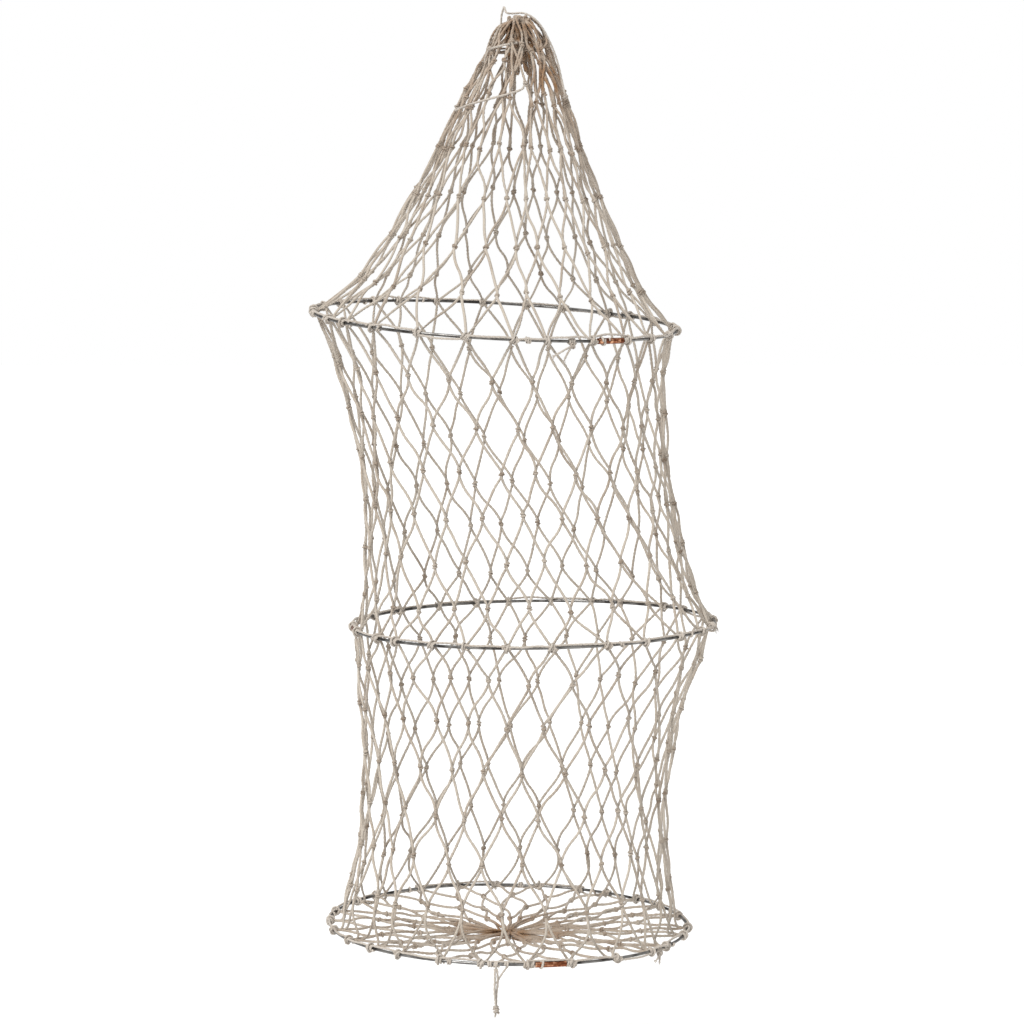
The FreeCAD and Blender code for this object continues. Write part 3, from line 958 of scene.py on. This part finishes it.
def lashing(hoop):
    """All of a hoop's hitches and the runner between them, with the knot that makes it off."""
    strands = []
    round_again = bearings[hoop.name] + [bearings[hoop.name][0] + 2 * math.pi]
    for n, (bearing, following) in enumerate(zip(round_again, round_again[1:])):
        strands.append(hitch(hoop, bearing, random.choice((1.6, 2.2, 2.6, 3.3, 4.2))))
        strands.append(cross_turn(hoop, bearing))
        if random.random() < 0.35:
            beside = bearing + random.uniform(0.2, 0.45) * PITCH
            strands.append(hitch(hoop, beside, random.choice((0.7, 1.2, 2.1))))
        past_sleeve = n == MESHES_ROUND - 1
        over = hoop.wire + SLEEVE_WALL if past_sleeve else 0.0
        strands.append(runner_stretch(hoop, bearing, following, over))
    sleeve_low, sleeve_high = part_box(f"{hoop.name}_hoop_ferrule")
    half_sleeve = (Vector(sleeve_high) - Vector(sleeve_low)).length / 2 / hoop.radius
    for side in (-1, 1):
        strands.append(hitch(hoop, hoop.sleeve + side * (half_sleeve + BESIDE_SLEEVE), 1.7))
    strands.append(hitch(hoop, hoop.sleeve - 0.55 * half_sleeve, 1.1, over=hoop.wire + SLEEVE_WALL))
    strands += lashing_knot(hoop)
    piece = lashing_piece(f"{hoop.name}_lashing", strands)
    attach(piece, f"{hoop.name}_hoop")
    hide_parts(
        f"{hoop.name}_hoop_hitches", f"{hoop.name}_hoop_runner", f"{hoop.name}_lashing_knot"
    )


def lashing_knot(hoop):
    """The knot that makes a lashing off, and its cut and frayed ends."""
    at = hoop.round_wire(hoop.knot, -1.2, 3.6 * MM)
    around = hoop.up.cross(at - hoop.centre).normalized()
    out = (at - hoop.centre).normalized()
    strands = [hitch(hoop, hoop.knot, 3.2), barrel_knot(at, around, 1.2), barrel_knot(at, hoop.up)]
    for along, drop in ((-9, 4.5), (-4, 6)):
        tip = at + (around * along - hoop.up * drop) * KNOT_ENDS[hoop.name] * MM + out * 2 * MM
        middle = at.lerp(tip, 0.5) + out * 1.5 * MM - around * 1.5 * MM
        strands.append(([at, middle, tip], 0.9, 0.2))
        strands += frayed_end(tip, tip - middle)
    return strands


# ---- free cords ----

def free_line(route):
    """A smooth line through a free cord's route, as a curve of one open spline."""
    curve = bpy.data.curves.new("line", "CURVE")
    curve.dimensions = "3D"
    line = curve.splines.new("NURBS")
    line.points.add(len(route) - 1)
    for control, place in zip(line.points, route):
        control.co = (*place, 1)
    line.order_u = 3
    line.use_endpoint_u = True
    line.resolution_u = 12
    piece = bpy.data.objects.new("line", curve)
    bpy.context.scene.collection.objects.link(piece)
    return piece


def line_points(route):
    """The points along a route's smooth line."""
    line = free_line(route)
    bpy.context.view_layer.update()
    mesh = bpy.data.meshes.new_from_object(line)
    points = [v.co.copy() for v in mesh.vertices]
    bpy.data.objects.remove(line)
    bpy.data.meshes.remove(mesh)
    return points


def loose_strand():
    """The slack length of the neck's tie that crosses the front of the cone."""
    points = line_points(LOOSE_STRAND_ROUTE)
    piece = lashing_piece("neck_loose_twine", [(points[::3] + points[-1:], 1.05, 0.0)])
    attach(piece, "neck")
    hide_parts("neck_loose_strand")


def tail():
    """Two strands that hang side by side from a hitch on the bottom hoop, knotted together."""
    points = line_points(TAIL_ROUTE)
    strands = []
    for way in (-1, 1):
        side = []
        for n, point in enumerate(points[::4] + points[-1:]):
            share = min(1.0, n * 4 / (len(points) - 1))
            apart = (0.9 + 0.5 * math.sin(math.pi * share)) * MM
            turn = 1.4 * share
            side.append(point + Vector((math.cos(turn), math.sin(turn), 0)) * apart * way)
        strands.append((side, 1.0, 0.2))
    cord = lashing_piece("tail_twine", strands)
    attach(cord, "bottom_hoop")
    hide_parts("tail_cord")
    tail_fork(points)
    knot = tail_knot()


def tail_fork(points):
    """Where the tail leaves the hoop: its hitches, and the two strands that come together."""
    hoop = hoops["bottom"]
    at = hoop.bearing(points[0])
    beside = at + 8.5 * MM / hoop.radius
    low = points[len(points) // 3]
    over_wire = [hoop.round_wire(at, angle, hoop.wire + TURN_REACH) for angle in (2.2, 1.2, 0.1)]
    foot = hoop.round_wire(beside, -1.2, hoop.wire + TURN_REACH)
    bend = foot.lerp(low, 0.45) + Vector((-1.5, 0, -1.0)) * MM
    ties = [
        hitch(hoop, at, 2.4), hitch(hoop, beside, 1.6),
        (over_wire + [points[0], points[2]], 1.0, 0.3), ([foot, bend, low], 0.9, 0.3),
    ]
    fork = lashing_piece("tail_fork", ties)
    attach(fork, "bottom_hoop")


def tail_knot():
    """The knot at the tail's end, with one cut end below it."""
    knot_at = middle_of("tail_end_knot")
    tip = knot_at + Vector((-0.6, 0.3, -4.4)) * MM
    ends = [
        barrel_knot(knot_at + Vector((0, 0, rise)) * MM, Vector((lean, 0, 1)).normalized(), 1.3)
        for rise, lean in ((1.6, 0.3), (-0.4, -0.2))
    ]
    ends.append(([knot_at, knot_at.lerp(tip, 0.5), tip], 1.0, 0.3))
    ends += frayed_end(tip, tip - knot_at, length=1.6 * MM)
    knot = lashing_piece("tail_knot", ends)
    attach(knot, "bottom_hoop")
    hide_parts("tail_end_knot")
    return knot


# ---- stage ----

def camera():
    """A long lens in front of the cone, looking slightly down on the whole trap."""
    lens = bpy.data.cameras.new("camera")
    lens.lens, lens.sensor_width = 113.6, 36.0
    placed = bpy.data.objects.new("camera", lens)
    placed.location = (-0.005, -2.67, -0.155)
    placed.rotation_euler = (math.radians(90 - 5.579), 0, 0)
    bpy.context.scene.collection.objects.link(placed)
    bpy.context.scene.camera = placed


def white_surround():
    """Soft light from all round, brightest overhead, with plain white behind the trap."""
    world = bpy.data.worlds.new("white studio")
    bpy.context.scene.world = world
    world.use_nodes = True
    tree = world.node_tree
    background = tree.nodes["Background"]
    way = node(tree, "ShaderNodeTexCoord").outputs["Generated"]
    split = node(tree, "ShaderNodeSeparateXYZ", links={"Vector": way})
    sky = ramp(tree, split.outputs["Z"], [(0.0, "#808082"), (0.25, "#AEAEAE"), (0.8, "#F4F4F4")])
    seen = node(tree, "ShaderNodeLightPath").outputs["Is Camera Ray"]
    white = node(tree, "ShaderNodeMix", {"data_type": "RGBA"}, links={"Factor": seen, 6: sky})
    white.inputs[7].default_value = (1, 1, 1, 1)
    tree.links.new(white.outputs[2], background.inputs["Color"])
    background.inputs["Strength"].default_value = 1.0


def paper_floor():
    """A floor of white paper some way below the trap: matt, and bright all over."""
    ground = bmesh.new()
    bmesh.ops.create_grid(ground, x_segments=1, y_segments=1, size=12.0)
    mesh = bpy.data.meshes.new("floor")
    ground.to_mesh(mesh)
    ground.free()
    floor = bpy.data.objects.new("floor", mesh)
    floor.location = (0, 0, cad_low.z - 120 * MM)
    bpy.context.scene.collection.objects.link(floor)
    pale, _, shader, _ = new_material("white paper floor")
    shader.inputs["Base Color"].default_value = (0.95, 0.95, 0.95, 1)
    shader.inputs["Roughness"].default_value = 0.9
    mesh.materials.append(pale)


def overhead_light():
    """A broad soft light from above, in front and on the left."""
    light = bpy.data.lights.new("overhead key", "SUN")
    light.angle, light.energy = math.radians(25), 2.5
    lamp = bpy.data.objects.new("overhead key", light)
    lamp.rotation_euler = Vector((1.0, 1.5, -1.9)).to_track_quat("-Z", "Y").to_euler()
    bpy.context.scene.collection.objects.link(lamp)


def show_steel_and_copper(hoop_name):
    """Give a hoop's wire and its sleeve the metals they are made of."""
    for part, material in (("wire", STEEL), ("ferrule", COPPER)):
        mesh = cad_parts[f"{hoop_name}_hoop_{part}"].data
        mesh.materials.clear()
        mesh.materials.append(material)


camera()
loose_strand()
tail()
for hoop_name in HOOPS:
    show_steel_and_copper(hoop_name)
    lashing(hoops[hoop_name])
cone_netting()
upper_netting()
lower_netting()
base_netting()
tucked_mouth()
neck_tie()
hang_loop()
base_gather()
bpy.data.objects.remove(PLIES)
bpy.context.scene.view_settings.view_transform = "Standard"
white_surround()
paper_floor()
overhead_light()
